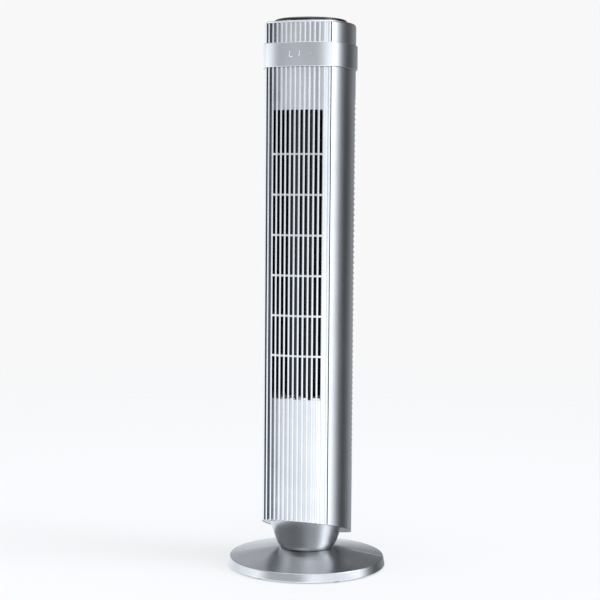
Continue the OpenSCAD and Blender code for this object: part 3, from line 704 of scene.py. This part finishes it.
def make_keys():
    """Thin printed rings with a dot, one for each touch key."""
    points = []
    faces = []
    steps = 48
    highest = PANEL_TOP - 0.02
    for k in range(KEY_COUNT):
        turn = math.radians(90 + 360 * k / KEY_COUNT)
        centre = (KEY_CIRCLE * math.cos(turn), KEY_CIRCLE * math.sin(turn))
        for inner, outer in ((KEY_R - KEY_LINE, KEY_R), (TINY, KEY_DOT_R)):
            start = len(points)
            section = ((inner, -KEY_LIFT), (inner, KEY_LIFT), (outer, KEY_LIFT), (outer, -KEY_LIFT))
            for i in range(steps):
                angle = 2 * math.pi * i / steps
                for radius, lift in section:
                    x = centre[0] + radius * math.cos(angle)
                    y = centre[1] + radius * math.sin(angle)
                    points.append((x, y, min(crown_height(math.hypot(x, y)) + lift, highest)))
            faces += [tuple(start + j for j in face) for face in grid_faces(steps, len(section), True, True)]
    piece = make_piece("touch_key_marks", points, faces, None, PRINT, body="column")


make_keys()

# ---------- rear shell and grille ----------

WALL = 2.5
SEAM_FILLET = 0.6
TOLERANCE = 1e-9                       # a point this near to a line counts as on it
OPEN_Y = 16.0                          # the rear grille's opening starts this far behind the axis
OPEN_Z0 = 192.0
OPEN_Z1 = 888.0


def bottom_height(y):
    return BOTTOM_Z - (y + FRONT_Y) * BOTTOM_SLOPE


def split_path(path, y_split):
    """The path with a point added wherever it crosses y_split."""
    made = [path[0]]
    for first, second in zip(path, path[1:]):
        if (first[1] - y_split) * (second[1] - y_split) < -TOLERANCE:
            t = (y_split - first[1]) / (second[1] - first[1])
            made.append(tuple(u + (v - u) * t for u, v in zip(first, second)))
        made.append(second)
    return made


def side_and_rear_path(steps):
    """The outline without its front arc, from the right seam round the rear to the left seam."""
    corner_steps = 4
    front_points = steps + 1
    corner_points = corner_steps - 1
    path = outline(0.0, SEAM_FILLET, steps, corner_steps)
    return path[front_points + corner_points:-corner_points]


def make_rear_shell():
    """The smooth side and rear wall, open where the grille sits."""
    path = split_path(side_and_rear_path(40), OPEN_Y)
    points = []
    for x, y, angle in path:
        for depth in (0.0, WALL):
            px = x - depth * math.cos(angle)
            py = y - depth * math.sin(angle)
            points += [(px, py, z) for z in (bottom_height(py), OPEN_Z0, OPEN_Z1, SHELL_TOP)]
    inside = 4                         # each place has four points outside and four inside, from the foot up
    stride = 2 * inside
    faces = []
    opened = [min(first[1], second[1]) >= OPEN_Y - TOLERANCE for first, second in zip(path, path[1:])]
    for i, is_open in enumerate(opened):
        here, there = stride * i, stride * (i + 1)
        for level in (0, 2) if is_open else (0, 1, 2):
            for side in (0, inside):
                a = here + side + level
                c = there + side + level
                faces.append((a, c, c + 1, a + 1))
        for level in (0, 3, 1, 2) if is_open else (0, 3):
            faces.append((here + level, there + level, there + inside + level, here + inside + level))
        if i and opened[i - 1] != is_open:
            faces.append((here + 1, here + 2, here + inside + 2, here + inside + 1))
    seam_faces = [
        (row + level, row + level + 1, row + inside + level + 1, row + inside + level)
        for row in (0, stride * (len(path) - 1)) for level in (0, 1, 2)
    ]
    faces += seam_faces                # the two edges that meet the front shell, which take the painted shade
    piece = make_piece("rear_shell_skin", points, faces, "rear_shell", SILVER, bevel=0.6)
    # The seam edges get the painted shade colour.
    piece.data.materials.append(SEAM_PAINTED_SHADE)
    for face in piece.data.polygons[-len(seam_faces):]:
        face.material_index = 1
    return piece


make_rear_shell()

SLAT_COUNT = 69
SLAT_STEP = 10.0
SLAT_H = 4.6
SLAT_Z0 = 195.0
SLAT_T = 2.2
SLAT_EDGE = 0.7                        # rounding of a slat's outer edges
GRILLE_GAP = 0.3
GRILLE_FRAME_H = 2.7                   # the closing strips above and below the slats
RIB_X = (-60, -40, -20, 0, 20, 40, 60)
RIB_HALF_W = 1.2                       # the upright ribs behind the slats
RIB_DEPTHS = (4.8, 2.0)                # their back and front, measured in from the outline
POST_DEPTHS = (5.2, 2.3)               # the same for the posts at the grille's two ends
POST_LENGTH = 2.4


def add_box(points, faces, low, high):
    start = len(points)
    points += [(x, y, z) for x in (low[0], high[0]) for y in (low[1], high[1]) for z in (low[2], high[2])]
    for face in ((0, 1, 3, 2), (4, 6, 7, 5), (0, 4, 5, 1), (2, 3, 7, 6), (0, 2, 6, 4), (1, 5, 7, 3)):
        faces.append(tuple(start + i for i in face))


def slat_section(height):
    """A slat's closed section as (outward, height), with its outer edges rounded."""
    half = height / 2
    soft = SLAT_EDGE * 0.3
    return [
        (-SLAT_T, half), (-SLAT_EDGE, half), (-soft, half - soft), (0, half - SLAT_EDGE),
        (0, SLAT_EDGE - half), (-soft, soft - half), (-SLAT_EDGE, -half), (-SLAT_T, -half),
    ]


def side_width(y):
    """Half the column's width at a given Y, on the side arcs."""
    return math.sqrt(SIDE_R ** 2 - y ** 2) - SIDE_X


def back_edge(x):
    """The outline's Y at the back at a given X."""
    return min(math.sqrt(REAR_R ** 2 - x * x) - REAR_Y, math.sqrt(SIDE_R ** 2 - (abs(x) + SIDE_X) ** 2))


def make_rear_grille():
    """Slats that follow the rear wall, with upright ribs behind them and a post at each end."""
    grille_y = OPEN_Y + GRILLE_GAP
    path = [p for p in split_path(side_and_rear_path(30), grille_y) if p[1] >= grille_y - TOLERANCE]
    slats_top = SLAT_Z0 + SLAT_COUNT * SLAT_STEP
    bands = [(SLAT_Z0 + (k + 0.5) * SLAT_STEP, SLAT_H) for k in range(SLAT_COUNT)]
    for strip_z in (SLAT_Z0 - GRILLE_FRAME_H / 2, slats_top + GRILLE_FRAME_H / 2):
        bands.append((strip_z, GRILLE_FRAME_H))
    points = []
    faces = []
    for middle, height in bands:
        section = slat_section(height)
        start = len(points)
        for x, y, angle in path:
            for out, z in section:
                points.append((x + out * math.cos(angle), y + out * math.sin(angle), middle + z))
        faces += [tuple(start + j for j in face) for face in grid_faces(len(path), len(section), False, True)]
        faces.append(tuple(range(start, start + len(section))))
        faces.append(tuple(range(len(points) - len(section), len(points))))
    low = SLAT_Z0 - GRILLE_FRAME_H
    high = slats_top + GRILLE_FRAME_H
    for x in RIB_X:
        back, front = (back_edge(x) - depth for depth in RIB_DEPTHS)
        add_box(points, faces, (x - RIB_HALF_W, back, low), (x + RIB_HALF_W, front, high))
    for side in (-1, 1):
        width = side_width(grille_y + POST_LENGTH / 2)
        x0, x1 = sorted(side * (width - depth) for depth in POST_DEPTHS)
        add_box(points, faces, (x0, grille_y, low), (x1, grille_y + POST_LENGTH, high))
    return make_piece("rear_grille_skin", points, faces, "rear_grille", SILVER)


make_rear_grille()

# ---------- studio ----------

BACKDROP = 0.939                       # the plain backdrop's brightness
TINT = (0.94, 0.985, 1.05)             # the light's faint blue
# Brightness of the surroundings by heading, in degrees: 0 lies in front of the fan and 90 towards +X.
LEVEL = [                              # at eye level
    (-180, 0.30), (-165, 1.3), (-125, 1.5), (-100, 1.4), (-66, 1.9), (-58, 2.5), (-50, 2.3), (-44, 0.75),
    (-40, 0.45), (-35, 0.75), (-29, 0.90), (-12, 0.93), (1, 0.76), (7, 0.50), (10, 0.66), (13, 1.1),
    (16, 1.7), (21, 2.7), (30, 2.5), (40, 1.75), (84, 1.55), (94, 2.4), (101, 2.7), (109, 1.3),
    (119, 0.16), (134, 0.01), (148, 0.16), (160, 0.36), (180, 0.40),
]
LOW = [                                # below the horizon, where the pale floor lies
    (-180, 0.30), (-165, 1.3), (-125, 1.5), (-100, 1.4), (-62, 2.2), (-50, 2.2), (-44, 1.5), (-28, 1.45),
    (-2, 1.6), (6, 2.0), (14, 2.3), (24, 2.6), (32, 2.4), (42, 2.0), (82, 2.0), (90, 2.6), (100, 2.6),
    (108, 1.2), (119, 0.18), (134, 0.04), (150, 0.24), (162, 0.45), (180, 0.50),
]
HIGH = [                               # above it: dim, but for one bright panel round 90 degrees
    (-180, 0.14), (-167, 0.16), (-157, 0.65), (-140, 0.45), (-120, 0.35), (-90, 0.6), (-30, 0.5), (0, 0.5),
    (25, 1.2), (70, 1.3), (80, 5.2), (100, 5.2), (112, 0.4), (150, 0.12), (180, 0.14),
]
CEILING = (0.30, 0.31, 0.33)           # straight above, as a share of the brightest stretch
TO_LOW = (-0.01, -0.09)                # the sines of elevation over which one of these gives way to the next
TO_HIGH = (0.10, 0.22)
TO_CEILING = (0.70, 0.92)


def world_direction(graph):
    """Heading as 0 to 1 from -180 to 180 degrees, and the sine of the elevation."""
    place = graph.node("ShaderNodeTexCoord")
    split = graph.node("ShaderNodeSeparateXYZ")
    graph.join(place.outputs["Generated"], split.inputs["Vector"])
    angle = graph.maths("ARCTAN2", split.outputs["X"], graph.maths("MULTIPLY", split.outputs["Y"], -1))
    return graph.spread(angle, 0, 1, -math.pi, math.pi), split.outputs["Z"]


def make_world():
    """Surroundings that light the object, and a plain backdrop for the camera."""
    world = bpy.data.worlds.new("studio")
    bpy.context.scene.world = world
    world.use_nodes = True
    world.node_tree.nodes.clear()
    graph = Graph(world.node_tree)
    heading, rise = world_direction(graph)
    peak = max(value for profile in (LEVEL, LOW, HIGH) for _, value in profile)

    def profile(points):
        stops = [((angle + 180) / 360, tuple(value / peak * t for t in TINT)) for angle, value in points]
        return graph.ramp(heading, stops)

    colour = graph.mix(graph.spread(rise, 0, 1, *TO_LOW), profile(LEVEL), profile(LOW))
    colour = graph.mix(graph.spread(rise, 0, 1, *TO_HIGH), colour, profile(HIGH))
    colour = graph.mix(graph.spread(rise, 0, 1, *TO_CEILING), colour, CEILING)
    lit = graph.node("ShaderNodeBackground")
    lit.inputs["Strength"].default_value = peak
    graph.join(colour, lit.inputs["Color"])
    seen = graph.node("ShaderNodeBackground")
    seen.inputs["Color"].default_value = (BACKDROP, BACKDROP, BACKDROP, 1)
    path = graph.node("ShaderNodeLightPath")
    mix = graph.node("ShaderNodeMixShader")
    out = graph.node("ShaderNodeOutputWorld")
    graph.join(path.outputs["Is Camera Ray"], mix.inputs["Fac"])
    graph.join(lit.outputs["Background"], mix.inputs[1])
    graph.join(seen.outputs["Background"], mix.inputs[2])
    graph.join(mix.outputs["Shader"], out.inputs["Surface"])


OVERHEAD_PLACE = Vector((-0.2, -0.4, 2.6))
OVERHEAD_SIZE = 1.6                    # a square
OVERHEAD_POWER = 14


def make_overhead():
    """One soft light above, aimed at the base, where it casts the shadow on the floor."""
    data = bpy.data.lights.new("overhead", "AREA")
    data.shape = "RECTANGLE"
    data.size = OVERHEAD_SIZE
    data.size_y = OVERHEAD_SIZE
    data.energy = OVERHEAD_POWER
    light = bpy.data.objects.new("overhead", data)
    light.location = OVERHEAD_PLACE
    light.rotation_euler = (-OVERHEAD_PLACE).to_track_quat("-Z", "Y").to_euler()
    bpy.context.scene.collection.objects.link(light)


FLOOR_R = 4.0
FLOOR_FADE = (0.25, 0.95)              # it fades into the backdrop between these shares of its radius
FLOOR_PAPER = 0.34                     # how much light the paper sends back
FLOOR_GLOW = 0.52                      # and how much it adds, to be as bright as the backdrop


def make_floor():
    """A pale paper disc that fades into the backdrop far from the object."""
    mesh = bpy.data.meshes.new("floor")
    count = 96
    turns = [2 * math.pi * i / count for i in range(count)]
    rim = [(FLOOR_R * math.cos(turn), FLOOR_R * math.sin(turn), 0) for turn in turns]
    mesh.from_pydata(rim, [], [list(range(count))])
    floor = bpy.data.objects.new("floor", mesh)
    bpy.context.scene.collection.objects.link(floor)
    made = new_material("floor_paper")
    graph = Graph(made.node_tree)
    fade = graph.spread(graph.length(graph.coords()), 0, 1, *(FLOOR_R * share for share in FLOOR_FADE))
    paper = graph.node("ShaderNodeBsdfDiffuse")
    paper.inputs["Color"].default_value = (FLOOR_PAPER, FLOOR_PAPER, FLOOR_PAPER, 1)
    shine = graph.node("ShaderNodeEmission")
    shine.inputs["Color"].default_value = (1, 1, 1, 1)
    shine.inputs["Strength"].default_value = FLOOR_GLOW
    both = graph.node("ShaderNodeAddShader")
    graph.join(paper.outputs["BSDF"], both.inputs[0])
    graph.join(shine.outputs["Emission"], both.inputs[1])
    clear = graph.node("ShaderNodeBsdfTransparent")
    mix = graph.node("ShaderNodeMixShader")
    out = graph.node("ShaderNodeOutputMaterial")
    graph.join(fade, mix.inputs["Fac"])
    graph.join(both.outputs["Shader"], mix.inputs[1])
    graph.join(clear.outputs["BSDF"], mix.inputs[2])
    graph.join(mix.outputs["Shader"], out.inputs["Surface"])
    mesh.materials.append(made)
    floor.visible_glossy = False


make_world()
make_overhead()
make_floor()
bpy.context.scene.view_settings.view_transform = "Standard"
